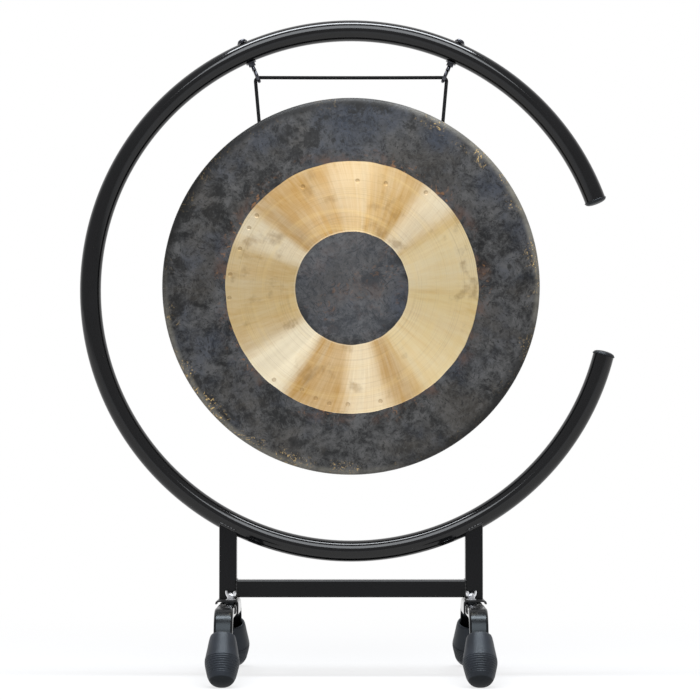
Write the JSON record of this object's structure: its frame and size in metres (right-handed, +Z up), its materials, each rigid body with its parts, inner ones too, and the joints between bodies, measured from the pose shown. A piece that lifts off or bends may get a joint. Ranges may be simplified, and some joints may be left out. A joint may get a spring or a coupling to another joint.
{
  "type": "gong stand",
  "caption": "Free-standing gong stand: round C-shaped tube ring on folding legs with rubber feet, a gong hanging from a cord between eye bolts.",
  "frame": {"origin": "middle of the footprint's bounding box, at floor level", "axes": "+Z up, the gong's face and the front towards -Y, +X to the right, where the ring is open"},
  "size_m": [0.7908, 0.4342, 0.9706],
  "materials": {
    "ring_paint": "gloss black paint",
    "frame_paint": "satin black paint",
    "bracket_paint": "gloss black paint",
    "leg_paint": "gloss black paint",
    "cap_plastic": "matt black",
    "spacer_plastic": "matt black",
    "foot_rubber": "charcoal rubber with moulded ribs",
    "hook_steel": "dark plated steel",
    "dome_nut_steel": "dark plated steel",
    "bolt_steel": "bright plated steel",
    "wing_nut_chrome": "bright plated steel",
    "gong_bronze": "dark scaled bronze with a bright turned band",
    "cord_braid": "black braided cord"
  },
  "bodies": {
    "stand": {"ring_tube": "ring_paint", "left_upright": "frame_paint", "right_upright": "frame_paint", "cross_bar": "frame_paint", "left_bracket": "bracket_paint", "right_bracket": "bracket_paint", "upper_end_cap": "cap_plastic", "lower_end_cap": "cap_plastic", "left_eye_bolt": "hook_steel", "right_eye_bolt": "hook_steel", "left_inner_nut": "hook_steel", "right_inner_nut": "hook_steel", "left_inner_washer": "hook_steel", "right_inner_washer": "hook_steel", "left_outer_washer": "hook_steel", "right_outer_washer": "hook_steel", "left_dome_nut": "dome_nut_steel", "right_dome_nut": "dome_nut_steel", "front_left_pivot_bolt": "bolt_steel", "front_left_pivot_washer": "bolt_steel", "front_left_pivot_spacer": "spacer_plastic", "front_right_pivot_bolt": "bolt_steel", "front_right_pivot_washer": "bolt_steel", "front_right_pivot_spacer": "spacer_plastic", "rear_left_pivot_bolt": "bolt_steel", "rear_left_pivot_washer": "bolt_steel", "rear_left_pivot_spacer": "spacer_plastic", "rear_right_pivot_bolt": "bolt_steel", "rear_right_pivot_washer": "bolt_steel", "rear_right_pivot_spacer": "spacer_plastic"},
    "hanging_gong": {"gong": "gong_bronze", "gong_cord": "cord_braid"},
    "front_left_leg_body": {"front_left_leg": "leg_paint", "front_left_foot": "foot_rubber"},
    "front_left_nut_body": {"front_left_wing_nut": "wing_nut_chrome"},
    "front_right_leg_body": {"front_right_leg": "leg_paint", "front_right_foot": "foot_rubber"},
    "front_right_nut_body": {"front_right_wing_nut": "wing_nut_chrome"},
    "rear_left_leg_body": {"rear_left_leg": "leg_paint", "rear_left_foot": "foot_rubber"},
    "rear_left_nut_body": {"rear_left_wing_nut": "wing_nut_chrome"},
    "rear_right_leg_body": {"rear_right_leg": "leg_paint", "rear_right_foot": "foot_rubber"},
    "rear_right_nut_body": {"rear_right_wing_nut": "wing_nut_chrome"}
  },
  "joints": [
    {"name": "front_left_leg_fold", "type": "hinge", "parent": "stand", "child": "front_left_leg_body", "pos_m": [-0.1701, -0.033, 0.106], "axis": [0, 0, -1], "range_deg": [0, 90]},
    {"name": "front_left_nut_turn", "type": "hinge", "parent": "stand", "child": "front_left_nut_body", "pos_m": [-0.1701, -0.033, 0.119], "axis": [0, 0, 1], "continuous": true},
    {"name": "front_right_leg_fold", "type": "hinge", "parent": "stand", "child": "front_right_leg_body", "pos_m": [0.1814, -0.033, 0.106], "axis": [0, 0, 1], "range_deg": [0, 90]},
    {"name": "front_right_nut_turn", "type": "hinge", "parent": "stand", "child": "front_right_nut_body", "pos_m": [0.1814, -0.033, 0.119], "axis": [0, 0, 1], "continuous": true},
    {"name": "rear_left_leg_fold", "type": "hinge", "parent": "stand", "child": "rear_left_leg_body", "pos_m": [-0.1701, 0.033, 0.106], "axis": [0, 0, 1], "range_deg": [0, 90]},
    {"name": "rear_left_nut_turn", "type": "hinge", "parent": "stand", "child": "rear_left_nut_body", "pos_m": [-0.1701, 0.033, 0.119], "axis": [0, 0, 1], "continuous": true},
    {"name": "rear_right_leg_fold", "type": "hinge", "parent": "stand", "child": "rear_right_leg_body", "pos_m": [0.1814, 0.033, 0.106], "axis": [0, 0, -1], "range_deg": [0, 90]},
    {"name": "rear_right_nut_turn", "type": "hinge", "parent": "stand", "child": "rear_right_nut_body", "pos_m": [0.1814, 0.033, 0.119], "axis": [0, 0, 1], "continuous": true},
    {"name": "gong_swing", "type": "hinge", "parent": "stand", "child": "hanging_gong", "pos_m": [0.00565, 0, 0.88517], "axis": [1, 0, 0], "range_deg": [-30, 30]}
  ]
}
